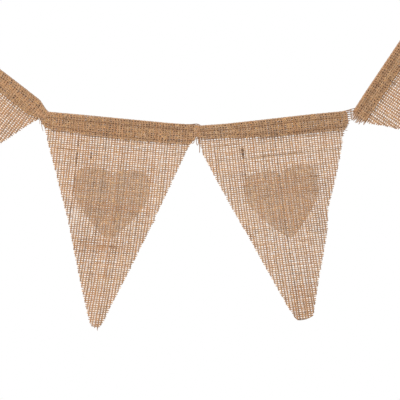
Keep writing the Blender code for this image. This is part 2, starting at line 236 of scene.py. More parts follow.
def strand_mesh(name, strands, sides, columns=1, end_scale=0.55):
    """One mesh of closed tubes, oval in section, each with a cell of its own in the bake's map.

    A strand's tone and hue go with its points as attributes, and the map "yarn" holds metres along it and the
    share of a turn round it.
    """
    turns = 2 * np.pi * np.arange(sides) / sides
    points, faces, bake, yarn, tones, hues = [], [], [], [], [], []
    first = 0
    longest = max(len(strand.points) for strand in strands)
    row_tall = columns / (len(strands) + columns)
    step = 0.96 / columns / longest
    for number, strand in enumerate(strands):
        low = number // columns * row_tall
        start = (number % columns + 0.02) / columns
        count = len(strand.points)
        way = tangents(strand.points)
        up = strand.up - way * np.sum(strand.up * way, axis=1, keepdims=True)
        up /= np.maximum(np.linalg.norm(up, axis=1, keepdims=True), 1e-12)
        aside = np.cross(up, way)
        scale = np.ones(count)
        scale[[0, -1]] = end_scale
        wide = (strand.wide * scale / 2)[:, None, None] * np.cos(turns)[None, :, None]
        thick = (strand.thick * scale / 2)[:, None, None] * np.sin(turns)[None, :, None]
        rings = strand.points[:, None] + aside[:, None] * wide + up[:, None] * thick
        points.append(rings.reshape(-1, 3))
        tones.append(np.repeat(strand.tone * np.ones(count), sides))
        hues.append(np.repeat(strand.hue * np.ones(count), sides))
        ring, side = np.meshgrid(np.arange(count - 1), np.arange(sides), indexing="ij")
        ring, side = ring.ravel(), side.ravel()
        after = (side + 1) % sides
        quads = np.stack(
            [ring * sides + side, ring * sides + after, (ring + 1) * sides + after, (ring + 1) * sides + side], axis=1
        )
        faces += (quads + first).tolist()
        faces.append(list(range(first + sides - 1, first - 1, -1)))
        faces.append(list(range(first + (count - 1) * sides, first + count * sides)))
        along = np.concatenate([[0], np.cumsum(np.linalg.norm(np.diff(strand.points, axis=0), axis=1))])
        corner_ring = np.stack([ring, ring, ring + 1, ring + 1], axis=1)
        corner_side = np.stack([side, side + 1, side + 1, side], axis=1)
        yarn.append(np.stack([along[corner_ring], corner_side / sides], axis=-1).reshape(-1, 2))
        across_map = low + 0.86 * row_tall * corner_side / sides
        bake.append(np.stack([start + step * corner_ring, across_map], axis=-1).reshape(-1, 2))
        cap = np.stack([np.cos(turns), np.sin(turns)], axis=1)
        for cap_ring, cap_turns in ((0, cap[::-1]), (count - 1, cap)):
            middle = np.array([start + step * cap_ring, low + 0.92 * row_tall])
            bake.append(middle + cap_turns * 0.03 * np.array([step, row_tall]))
            yarn.append(np.tile([along[cap_ring], 0.5], (sides, 1)))
        first += count * sides
    mesh = bpy.data.meshes.new(name)
    mesh.from_pydata(np.concatenate(points).tolist(), [], faces)
    for map_name, places in (("OFBake", bake), ("yarn", yarn)):
        layer = mesh.uv_layers.new(name=map_name)
        layer.data.foreach_set("uv", np.concatenate(places).ravel().astype(np.float32))
    for value_name, values in (("tone", tones), ("hue", hues)):
        attribute = mesh.attributes.new(value_name, "FLOAT", "POINT")
        attribute.data.foreach_set("value", np.concatenate(values).astype(np.float32))
    mesh.shade_smooth()
    piece = bpy.data.objects.new(name, mesh)
    bpy.context.scene.collection.objects.link(piece)
    return piece


def plied(route, diameter, turn, plies, tone, hue):
    """The plies of a twisted string along a route, each a strand of its own."""
    way = tangents(route)
    out = np.array([0.0, -1.0, 0.0])
    up = out - way * (way @ out)[:, None]
    up /= np.linalg.norm(up, axis=1, keepdims=True)
    aside = np.cross(up, way)
    along = np.concatenate([[0], np.cumsum(np.linalg.norm(np.diff(route, axis=0), axis=1))])
    strands = []
    for ply in range(plies):
        angle = 2 * np.pi * (along / turn + ply / plies)
        radial = np.cos(angle)[:, None] * aside + np.sin(angle)[:, None] * up
        swell = 1 + 0.10 * np.sin(along / (7.3 * MM) + ply) + 0.07 * np.sin(along / (2.9 * MM) + 2 * ply)
        size = diameter * swell
        strands.append(Strand(route + radial * diameter * 0.43, radial, size, size * 0.9, tone, hue))
    return strands


def fibre_pattern():
    """A node group for spun fibre: colour from the strand's tone and hue, fine streaks, and their height."""
    group = bpy.data.node_groups.new("spun_fibre", "ShaderNodeTree")
    interface = group.interface
    for label in ("Dark", "Middle", "Light", "Warm"):
        interface.new_socket(name=label, in_out="INPUT", socket_type="NodeSocketColor")
    interface.new_socket(name="Colour", in_out="OUTPUT", socket_type="NodeSocketColor")
    interface.new_socket(name="Height", in_out="OUTPUT", socket_type="NodeSocketFloat")
    nodes, links = group.nodes, group.links
    given = nodes.new("NodeGroupInput")
    result = nodes.new("NodeGroupOutput")
    tone = nodes.new("ShaderNodeAttribute")
    tone.attribute_name = "tone"
    hue = nodes.new("ShaderNodeAttribute")
    hue.attribute_name = "hue"
    place = nodes.new("ShaderNodeTexCoord")
    yarn_map = nodes.new("ShaderNodeUVMap")
    yarn_map.uv_map = "yarn"
    twist = nodes.new("ShaderNodeMapping")
    twist.inputs["Scale"].default_value = (900, 3, 1)
    twist.inputs["Rotation"].default_value = (0, 0, 0.5)
    streaks = nodes.new("ShaderNodeTexNoise")
    streaks.inputs["Scale"].default_value = 1.0
    streaks.inputs["Detail"].default_value = 3.0
    mottle = nodes.new("ShaderNodeTexNoise")
    mottle.inputs["Scale"].default_value = 260.0
    mottle.inputs["Detail"].default_value = 4.0
    drift = nodes.new("ShaderNodeTexNoise")
    drift.inputs["Scale"].default_value = 45.0
    drift.inputs["Detail"].default_value = 2.0
    links.new(yarn_map.outputs["UV"], twist.inputs["Vector"])
    links.new(twist.outputs["Vector"], streaks.inputs["Vector"])
    links.new(place.outputs["Object"], mottle.inputs["Vector"])
    links.new(place.outputs["Object"], drift.inputs["Vector"])

    def reckon(operation, first, second):
        node = nodes.new("ShaderNodeMath")
        node.operation = operation
        for socket, value in zip(node.inputs, (first, second)):
            if isinstance(value, (int, float)):
                socket.default_value = value
            else:
                links.new(value, socket)
        return node.outputs["Value"]

    def blended(share, first, second):
        node = nodes.new("ShaderNodeMix")
        node.data_type = "RGBA"
        links.new(share, node.inputs["Factor"])
        links.new(first, node.inputs["A"])
        links.new(second, node.inputs["B"])
        return node.outputs["Result"]

    uneven = reckon("MULTIPLY", reckon("SUBTRACT", mottle.outputs["Fac"], 0.5), 0.9)
    fine = reckon("MULTIPLY", reckon("SUBTRACT", streaks.outputs["Fac"], 0.5), 0.8)
    level = reckon("ADD", reckon("ADD", tone.outputs["Fac"], uneven), fine)
    lower = blended(reckon("MULTIPLY", level, 2.0), given.outputs["Dark"], given.outputs["Middle"])
    upper = blended(reckon("SUBTRACT", reckon("MULTIPLY", level, 2.0), 1.0), lower, given.outputs["Light"])
    warmth = reckon("ADD", hue.outputs["Fac"], reckon("SUBTRACT", drift.outputs["Fac"], 0.5))
    warm = blended(reckon("MULTIPLY", warmth, 0.6), upper, given.outputs["Warm"])
    links.new(warm, result.inputs["Colour"])
    links.new(streaks.outputs["Fac"], result.inputs["Height"])
    return group


SPUN_FIBRE = fibre_pattern()


def spun_finish(name, dark, middle, light, warm, relief):
    """Spun fibre on a soft matt shader."""
    finish, shader = plain_finish(name, middle, 0.85)
    nodes, links = finish.node_tree.nodes, finish.node_tree.links
    pattern = nodes.new("ShaderNodeGroup")
    pattern.node_tree = SPUN_FIBRE
    for label, colour in (("Dark", dark), ("Middle", middle), ("Light", light), ("Warm", warm)):
        pattern.inputs[label].default_value = (*colour, 1)
    bump = nodes.new("ShaderNodeBump")
    bump.inputs["Strength"].default_value = 0.6
    bump.inputs["Distance"].default_value = relief
    links.new(pattern.outputs["Colour"], shader.inputs["Base Color"])
    links.new(pattern.outputs["Height"], bump.inputs["Height"])
    links.new(bump.outputs["Normal"], shader.inputs["Normal"])
    shader.inputs["Sheen Weight"].default_value = 0.15
    shader.inputs["Sheen Roughness"].default_value = 0.6
    return finish


twine_route = softened(spaced(twine_route, TWINE_STEP), 6)
twine_strands = plied(twine_route, PLY_DIAMETER, PLY_TURN, TWINE_PLIES, 0.42, 0.5)
twine = strand_mesh("jute_twine", twine_strands, TWINE_SIDES)
twine_finish = spun_finish(
    "twine_jute", (0.13, 0.065, 0.03), (0.30, 0.17, 0.085), (0.48, 0.31, 0.18), (0.35, 0.18, 0.09), 0.10 * MM
)
twine.data.materials.append(twine_finish)
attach(twine, "root")
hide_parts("twine")

KNOT_TURNS = 3.0
KNOT_RADIUS = 1.95 * MM
KNOT_RISE = 1.25 * MM


def knot_route(centre, outward, aside):
    """Turns of the twine wound tightly round its own two legs, with its ends tucked in."""
    share = np.linspace(0, 1, 90)
    angle = 2 * np.pi * KNOT_TURNS * share
    rise = (share - 0.5) * KNOT_RISE * KNOT_TURNS
    tucked = 1 - 0.45 * (1 - eased(share / 0.06)) - 0.45 * (1 - eased((1 - share) / 0.06))
    lean = 0.25 * np.cos(angle) * KNOT_RADIUS
    out = np.array([0.0, 1.0, 0.0])
    middle = centre + (rise + lean)[:, None] * outward
    return middle + (KNOT_RADIUS * tucked)[:, None] * (
        np.cos(angle)[:, None] * aside + np.sin(angle)[:, None] * out
    )


for side_name, spot, outward, aside in (
    ("left", run[0], left_out, left_aside),
    ("right", run[-1], right_out, right_aside),
):
    route = knot_route(spot + aside * LEG_GAP / 2, outward, aside)
    knot = strand_mesh(
        f"{side_name}_knot", plied(route, PLY_DIAMETER, PLY_TURN, TWINE_PLIES, 0.40, 0.5), TWINE_SIDES
    )
    knot.data.materials.append(twine_finish)
    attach(knot, "root")

# Pennants
# Open plain-woven hessian, cut to a triangle with raw edges. Its top is turned over the twine towards the camera
# and sewn down as a hem of two layers, which looks denser. The threads are unevenly spun and spaced.
CLOTH_HALF_GAP = 0.8 * MM
CLOTH_THICK = 1.2 * MM
CLOSING_DEPTH = 4 * MM
HANGS_PLUMB_BELOW = 16 * MM
CHANNEL_END = 4.8 * MM
TURNED_SLIP = 1.3 * MM
FOLDS_START = 14 * MM
FOLDS_FULL = 60 * MM
LONG_PITCH = 2.7 * MM
LONG_WIDE = 1.38 * MM
LONG_THICK = 0.58 * MM
CROSS_PITCH = 2.0 * MM
CROSS_WIDE = 1.03 * MM
CROSS_THICK = 0.52 * MM
WEAVE_HEIGHT = 0.24 * MM
YARN_SIDES = 5
LOOK_STEP = 0.25 * MM
SAG_FADES = 60 * MM
# Painted light: the threads of the casing are painted paler than the same jute below it, for the light on its two
# layers
CASING_PAINTED_LIGHT = 0.08
SPIN_TONE = 0.35
TINT_WARMTH = 2.5
SEED = 20

# All tables below are in millimetres. A flaw's depths or places are those of its two ends on one thread
Edge = namedtuple("Edge", "depth left right")
Hem = namedtuple("Hem", "across depth")
Sag = namedtuple("Sag", "across depth")
Bend = namedtuple("Bend", "across depth wide tall height")
Patch = namedtuple("Patch", "across depth wide tall amount")
Flaw = namedtuple("Flaw", "way place start end thicker darker")
Fringe = namedtuple("Fringe", "side depth reach")
Loose = namedtuple("Loose", "size tone points")
Ladder = namedtuple("Ladder", "start end depth")
Cut = namedtuple("Cut", "name lean dense sags edges hems bends patches tints flaws fringes ladders loose")
LONG, CROSS = "long", "cross"
CUTS = (
    Cut(
        name="pennant_1",
        lean=0.0,
        dense=1.09,
        sags=(Sag(0, 0.0), Sag(60, -0.3), Sag(110, -0.3), Sag(138, 0.0)),
        edges=(
            Edge(0, 1.0, 156.4),
            Edge(5.8, 1.0, 156.4),
            Edge(10.0, 1.6, 155.6),
            Edge(14.0, 2.6, 153.6),
            Edge(21.0, 5.5, 150.0),
            Edge(30.0, 9.0, 145.3),
            Edge(57.0, 18.6, 135.4),
            Edge(100, 36.2, 119.6),
            Edge(150, 56.4, 101.2),
            Edge(192, 73.4, 86.3),
            Edge(201, 78.2, 82.6),
        ),
        hems=(Hem(0, 17.6), Hem(50, 18.6), Hem(106, 18.3), Hem(143, 18.9), Hem(158, 18.2)),
        bends=(
            Bend(30, 75, 26, 52, 3.6),
            Bend(118, 95, 24, 60, -4.2),
            Bend(76, 205, 40, 46, 6.0),
        ),
        patches=(Patch(128, 30, 18, 14, 0.10),),
        tints=(Patch(120, 44, 20, 4, 0.12), Patch(90, 96, 30, 5, 0.12)),
        flaws=(Flaw(LONG, 96, 30, 70, 1.3, 0.25),),
        fringes=(),
        ladders=(),
        loose=(
            Loose(0.8, 0.5, ((145.6, 15.5, -0.3), (147.6, 18.2, 0.2), (148.8, 20.0, 0.8), (149.6, 22.4, 1.0))),
            Loose(0.6, 0.6, ((150.2, 13.0, 0.3), (150.6, 16.6, -0.5), (151.8, 19.4, -0.8))),
        ),
    ),
    Cut(
        name="pennant_2",
        lean=-10.6,
        dense=1.0,
        sags=(Sag(0, -0.8), Sag(30, -0.5), Sag(75, 0.3), Sag(115, 0.9), Sag(143, 0.6)),
        edges=(
            Edge(0, -1.6, 143.8),
            Edge(1.5, -2.4, 143.8),
            Edge(4.0, -5.0, 143.6),
            Edge(6.4, -9.0, 143.2),
            Edge(8.1, -8.6, 142.8),
            Edge(14.1, -5.3, 141.6),
            Edge(18.2, -3.6, 137.4),
            Edge(28.6, -0.4, 132.8),
            Edge(38.0, 2.9, 129.2),
            Edge(57.0, 9.7, 122.2),
            Edge(101.6, 25.0, 105.3),
            Edge(142.3, 36.4, 89.2),
            Edge(178, 46.9, 74.2),
            Edge(197, 53.2, 66.6),
            Edge(204.0, 57.4, 63.0),
        ),
        hems=(Hem(-8, 13.5), Hem(1, 17.1), Hem(20, 18.4), Hem(50, 20.4), Hem(93, 21.0), Hem(130, 20.2), Hem(142, 19.0)),
        bends=(
            Bend(20, 92, 22, 46, -3.8),
            Bend(96, 70, 30, 48, 3.4),
            Bend(84, 150, 18, 36, -2.6),
            Bend(58, 212, 36, 40, -6.5),
        ),
        patches=(
            Patch(33, 98, 8, 9, -0.25),
            Patch(60, 128, 30, 5, 0.22),
            Patch(100, 34, 24, 14, -0.10),
        ),
        tints=(
            Patch(70, 25, 4, 3, 0.16),
            Patch(20, 56, 6, 5, 0.16),
            Patch(44, 66, 17, 3, 0.13),
            Patch(70, 88, 28, 6, 0.15),
            Patch(33, 99, 8, 9, -0.13),
            Patch(58, 123, 25, 4, 0.14),
            Patch(60, 154, 22, 3, 0.12),
        ),
        flaws=(
            Flaw(LONG, 28.6, 20, 32, 1.3, 0.38),
            Flaw(LONG, 28.2, 36, 50, 1.5, 0.52),
            Flaw(LONG, 27.6, 54, 78, 1.3, 0.36),
            Flaw(LONG, 26.6, 85, 104, 1.25, 0.32),
            Flaw(CROSS, 33.6, 7, 30, 1.5, 0.32),
            Flaw(CROSS, 122, 36, 58, 1.6, 0.20),
            Flaw(CROSS, 125, 56, 80, 1.6, 0.20),
            Flaw(CROSS, 153, 42, 82, 1.2, 0.12),
            Flaw(LONG, 43.2, 36, 42, 1.6, 0.90),
        ),
        fringes=(Fringe("left", (6, 14), 1.6), Fringe("right", (96, 99), 2.0)),
        ladders=(),
        loose=(
            Loose(0.7, 0.4, ((-8.4, 5.6, 0), (-8.9, 8.0, 0.4), (-7.8, 13.8, 0.6), (-5.8, 19.4, 0.3))),
            Loose(0.5, 0.6, ((-9.0, 7.0, 0), (-10.2, 10.0, -0.5), (-9.4, 13.0, -0.9))),
            Loose(0.8, 0.25, ((140.0, 13.8, -0.6), (140.6, 17.4, -0.9), (139.4, 19.3, -1.0),
                             (137.8, 18.8, -0.9), (137.6, 16.6, -0.6))),
            Loose(0.8, 0.4, ((60.6, 200.0, 0), (61.4, 203.4, 0.2), (61.8, 206.2, 0.4))),
            Loose(1.1, 0.15, ((132.0, 0.8, 0), (137.0, 0.5, 0), (140.6, -0.5, 0), (143.6, -0.2, 0), (145.4, 0.9, 0))),
        ),
    ),
    Cut(
        name="pennant_3",
        lean=7.2,
        dense=0.965,
        sags=(Sag(0, 0.4), Sag(25, 1.1), Sag(60, 0.8), Sag(110, 0.2), Sag(135, 0.4), Sag(148, 0.0)),
        edges=(
            Edge(0, -3.0, 147.0),
            Edge(5.0, -4.0, 147.0),
            Edge(9.6, -4.8, 146.8),
            Edge(10.2, -4.9, 142.6),
            Edge(13.0, -4.4, 141.8),
            Edge(17.2, -2.6, 139.4),
            Edge(21.2, -1.2, 136.0),
            Edge(29.0, 0.4, 135.2),
            Edge(54.4, 10.6, 128.4),
            Edge(72.6, 18.4, 122.2),
            Edge(93.8, 27.6, 114.6),
            Edge(113, 36.4, 112.4),
            Edge(155, 54.6, 100.2),
            Edge(184, 67.2, 93.0),
            Edge(194.4, 73.0, 90.4),
            Edge(197.4, 75.0, 82.5),
        ),
        hems=(Hem(-3, 12.0), Hem(4, 13.4), Hem(28, 14.8), Hem(47, 16.7), Hem(63, 17.9), Hem(95, 18.8), Hem(140, 18.8)),
        bends=(
            Bend(117, 92, 13, 34, 5.2),
            Bend(96, 120, 16, 44, -2.8),
            Bend(34, 84, 24, 40, 3.6),
            Bend(84, 206, 34, 38, 5.6),
        ),
        patches=(
            Patch(80, 134, 26, 24, -0.08),
            Patch(80, 172, 12, 14, 0.14),
            Patch(78, 190, 16, 10, 0.20),
            Patch(62, 110, 12, 8, -0.12),
        ),
        tints=(
            Patch(49, 24, 6, 4, 0.13),
            Patch(85, 71, 27, 4, 0.13),
            Patch(98, 88, 9, 5, 0.20),
            Patch(35, 94, 10, 8, -0.11),
            Patch(69, 102, 6, 5, 0.20),
            Patch(79, 169, 8, 5, 0.18),
        ),
        flaws=(
            Flaw(LONG, 37.9, 26, 36, 2.0, 1.00),
            Flaw(LONG, 38.2, 40, 58, 1.3, 0.35),
            Flaw(CROSS, 36, 52, 94, 1.35, 0.15),
            Flaw(CROSS, 60, 48, 96, 1.2, 0.12),
            Flaw(CROSS, 60, 100, 111, 1.5, 0.30),
            Flaw(CROSS, 74, 47, 80, 1.2, 0.12),
            Flaw(CROSS, 74, 82, 108, 1.4, 0.18),
            Flaw(LONG, 84, 96, 112, 1.3, 0.15),
            Flaw(LONG, 10.4, 18, 46, 1.1, 0.10),
        ),
        fringes=(Fringe("right", (10, 26), 1.8),),
        ladders=(Ladder(141.0, 147.4, 10.2),),
        loose=(
            Loose(1.0, 0.2, ((-1.6, 11.0, 0), (-1.9, 15.0, -0.7), (-2.4, 20.0, -0.9), (-3.1, 26.8, -0.6))),
            Loose(0.8, 0.25, ((-4.6, 12.0, 0.4), (-5.4, 16.4, 0.8), (-4.5, 20.0, 1.0), (-3.3, 18.0, 0.9),
                              (-2.7, 13.6, 0.5))),
            Loose(0.6, 0.3, ((135.5, 18.6, -1.6), (138.4, 18.9, -1.9), (141.0, 19.7, -2.0))),
            Loose(1.0, 0.2, ((138.0, 0.8, 0), (143.0, 0.4, 0), (146.0, -0.1, 0), (148.6, -0.7, 0), (151.0, -0.6, 0))),
            Loose(1.0, 0.15, ((72.4, 193.4, 0.3), (73.8, 195.8, 0.3), (75.6, 197.4, 0.3), (81.9, 197.3, 0.3),
                              (87.3, 195.8, 0.3), (90.4, 194.2, 0.3))),
            Loose(1.1, 0.4, ((146.4, 0.0, 0.6), (146.2, 3.0, 0.9), (146.0, 6.0, 0.9), (146.3, 10.0, 0.8))),
        ),
    ),
    Cut(
        name="pennant_4",
        lean=0.0,
        dense=1.14,
        sags=(Sag(0, -0.2), Sag(20, -0.6), Sag(140, -0.6)),
        edges=(
            Edge(0, 0.2, 145.5),
            Edge(5.0, -1.4, 145.5),
            Edge(12.0, -1.6, 143.4),
            Edge(16.3, -1.7, 141.4),
            Edge(20.4, -1.2, 138.8),
            Edge(32.4, 4.7, 132.4),
            Edge(45.0, 9.5, 127.2),
            Edge(100, 30.8, 105.6),
            Edge(150, 50.4, 86.0),
            Edge(190, 65.6, 72.6),
            Edge(198, 67.4, 71.6),
        ),
        hems=(Hem(-6, 15.2), Hem(18, 16.6), Hem(47, 16.2), Hem(90, 17.4), Hem(146, 16.4)),
        bends=(
            Bend(24, 62, 20, 44, -3.6),
            Bend(104, 84, 26, 50, 4.0),
            Bend(70, 206, 36, 44, -5.6),
        ),
        patches=(Patch(20, 30, 10, 14, -0.10),),
        tints=(Patch(40, 50, 24, 4, 0.12), Patch(80, 90, 26, 5, 0.12)),
        flaws=(Flaw(CROSS, 40, 20, 60, 1.3, 0.2),),
        fringes=(Fringe("left", (1.0, 2.5), 4.0), Fringe("left", (2.5, 6), 7.4), Fringe("left", (6, 10), 6.6), Fringe("left", (10, 13.5), 5.4), Fringe("left", (13.5, 16.5), 3.0)),
        ladders=(),
        loose=(),
    ),
)


def looked_up(rows, key, value, where):
    """A table's value at a place, between its rows, in metres."""
    keys = [getattr(row, key) * MM for row in rows]
    values = [getattr(row, value) * MM for row in rows]
    return np.interp(where, keys, values)


def heaped(bumps, across, depth, size):
    """The sum of soft round bumps at a place."""
    total = 0 * (across + depth)
    for bump in bumps:
        sideways = (across - bump.across * MM) / (bump.wide * MM)
        down = (depth - bump.depth * MM) / (bump.tall * MM)
        total = total + getattr(bump, size) * np.exp(-sideways * sideways - down * down)
    return total


class Cloth:
    """A pennant's cloth: where each place of the flat piece hangs. Runs are measured from the top of its fold."""

    def __init__(self, hang, cut):
        self.hang = hang
        self.cut = cut
        self.tall = cut.edges[-1].depth * MM
        self.turn = CHANNEL_RADIUS * math.pi / 2
        self.slack = self.turn - CHANNEL_DEPTH

    def depth(self, run):
        """The depth under the fold of a run down either side of it."""
        on_turn = CHANNEL_DEPTH - CHANNEL_RADIUS * np.cos(np.minimum(np.abs(run), self.turn) / CHANNEL_RADIUS)
        return np.where(np.abs(run) < self.turn, on_turn, np.abs(run) - self.slack)

    def shift(self, depth):
        """How far the threads lean sideways at a depth."""
        return self.cut.lean * MM * (depth / self.tall) ** 2

    def slip(self, run):
        """How far aside the turned layer lies, so that its threads fall between those of the main one."""
        return TURNED_SLIP * eased(-run / CHANNEL_END)

    def hem(self, across):
        return looked_up(self.cut.hems, "across", "depth", across)

    def left(self, depth):
        return looked_up(self.cut.edges, "depth", "left", depth)

    def right(self, depth):
        return looked_up(self.cut.edges, "depth", "right", depth)

    def layer(self, across, depth):
        """Half the distance between the two layers of the casing."""
        closing = 1 - eased((depth - CHANNEL_DEPTH) / CLOSING_DEPTH)
        offset = CLOTH_HALF_GAP + (CHANNEL_RADIUS - CLOTH_HALF_GAP) * closing
        return offset * (1 - eased((depth - self.hem(across) - CLOTH_THICK) / HANGS_PLUMB_BELOW))

    def folds(self, across, depth):
        ready = eased((depth - FOLDS_START) / (FOLDS_FULL - FOLDS_START))
        return heaped(self.cut.bends, across, depth, "height") * MM * ready

    def hung_depth(self, across, depth):
        """The depth once the gathered end of a casing has sagged and been squeezed together."""
        drop = fold_drop(self.hang, across)
        hem = self.hem(across)
        sag = looked_up(self.cut.sags, "across", "depth", across)
        squeeze = GATHER_SQUEEZE * drop / GATHER_DROP
        in_hem = CHANNEL_END + drop + (depth - CHANNEL_END) * (1 - squeeze)
        pulled = drop - (hem - CHANNEL_END) * squeeze
        below = depth + pulled * (1 - eased((depth - hem) / GATHER_FADES))
        hung = np.where(depth <= CHANNEL_END, depth + drop, np.where(depth <= hem, in_hem, below))
        return hung + sag * (1 - eased(depth / SAG_FADES))

    def at(self, thread, run, lift=0.0):
        """World points of the cloth at threads across it and runs along it, lifted off its middle."""
        thread, run = np.broadcast_arrays(np.asarray(thread, float), np.asarray(run, float))
        depth = self.depth(run)
        across = thread + self.shift(depth) + self.slip(run)
        angle = np.clip(run, -self.turn, self.turn) / CHANNEL_RADIUS
        on_turn = CHANNEL_RADIUS * np.sin(angle)
        offset = np.where(np.abs(run) < self.turn, on_turn, np.sign(run) * self.layer(across, depth))
        out = self.folds(across, depth) + offset
        spots = placed(self.hang, across, out, self.hung_depth(across, depth))
        if np.any(lift):
            spots = spots + self.out_of(thread, run) * np.asarray(lift)[..., None]
        return spots

    def out_of(self, thread, run):
        """The way out of the cloth, off the face that is outside when it is folded over the twine."""
        reach = 0.3 * MM
        sideways = self.at(thread + reach, run) - self.at(thread - reach, run)
        down = self.at(thread, run + reach) - self.at(thread, run - reach)
        way = np.cross(sideways, down)
        return way / np.maximum(np.linalg.norm(way, axis=-1, keepdims=True), 1e-12)

    def inside(self, thread, run):
        """Whether a thread is within the cut piece at a run along it."""
        depth = self.depth(run)
        across = thread + self.shift(depth) + self.slip(run)
        on_piece = (across >= self.left(depth)) & (across <= self.right(depth)) & (depth <= self.tall)
        return on_piece & ((run > 0) | ((depth <= self.hem(across)) & ~self.pulled_out(thread, run)))

    def shade(self, across, depth, tone, hue, darker, spin):
        """The tone and hue along a thread, with its flaws, the cloth's tinted places, and painted light that makes its
        casing paler.
        """
        tint = heaped(self.cut.tints, across + self.shift(depth), depth, "amount")
        # Painted light: the casing's threads are made paler than the rest of the cloth
        painted_light = CASING_PAINTED_LIGHT * (depth < self.hem(across))
        tones = np.clip(tone - darker - tint + SPIN_TONE * spin + painted_light, 0, 1)
        return tones, np.clip(hue - darker + TINT_WARMTH * tint, 0, 1)

    def pulled_out(self, thread, run):
        """Whether a lengthwise thread is missing at a run along it, where only crosswise threads are left."""
        depth = self.depth(run)
        across = thread + self.shift(depth)
        missing = [
            (across > ladder.start * MM) & (across < ladder.end * MM) & (depth < ladder.depth * MM)
            for ladder in self.cut.ladders
        ]
        return np.any(missing, axis=0) if missing else np.zeros(np.shape(across), bool)


def stretches(mask):
    """The first and last index of each unbroken stretch of a mask."""
    steps = np.diff(np.concatenate([[0], mask.astype(int), [0]]))
    return list(zip(np.flatnonzero(steps == 1), np.flatnonzero(steps == -1) - 1))


def wavering(chance, count, size, lengths):
    """Slow wandering for each of several threads, as a function of the place along it."""
    phases = chance.uniform(0, 2 * np.pi, (count, len(lengths)))
    amounts = chance.normal(0, size / math.sqrt(len(lengths)), (count, len(lengths)))

    def at(number, place):
        total = np.zeros_like(place)
        for phase, amount, length in zip(phases[number], amounts[number], lengths):
            total += amount * np.sin(2 * np.pi * place / length + phase)
        return total

    return at


def uneven_places(chance, start, end, pitch):
    """Places about a pitch apart, from a start to an end."""
    count = int((end - start) / pitch) + 1
    return start + pitch * (np.arange(count) + chance.normal(0, 0.045, count))


def flaw_effect(flaws, way, number, numbers, place):
    """How much thicker and darker the flaws make a thread at places along it."""
    thicker = np.ones_like(place)
    darker = np.zeros_like(place)
    for flaw in flaws:
        if flaw.way != way or numbers(flaw) != number:
            continue
        middle = (flaw.start + flaw.end) / 2 * MM
        reach = (flaw.end - flaw.start) / 2 * MM
        share = 1 - eased((np.abs(place - middle) - reach * 0.7) / (reach * 0.6))
        thicker += (flaw.thicker - 1) * share
        darker += flaw.darker * share
    return thicker, darker


def fringe_reach(fringes, depth):
    """How far the crosswise threads stick out of the left and the right edge at a depth."""
    reach = {"left": 0.0, "right": 0.0}
    for fringe in fringes:
        if fringe.depth[0] * MM <= depth < fringe.depth[1] * MM:
            reach[fringe.side] = fringe.reach * MM
    return reach["left"], reach["right"]


def loose_strand(cloth, loose):
    """A thread that has come loose from an edge, eased through the places where it hangs."""
    places = softened(spaced(np.array(loose.points) * MM, 0.8 * MM), 5)
    across, depth, out = places.T
    depth = cloth.hung_depth(across, depth)
    spots = placed(cloth.hang, across, out + cloth.folds(across, depth), depth)
    size = loose.size * MM * np.linspace(1.0, 0.8, len(spots))
    return Strand(spots, np.tile([0.0, -1.0, 0.2], (len(spots), 1)), size, size * 0.7, loose.tone, 0.5)


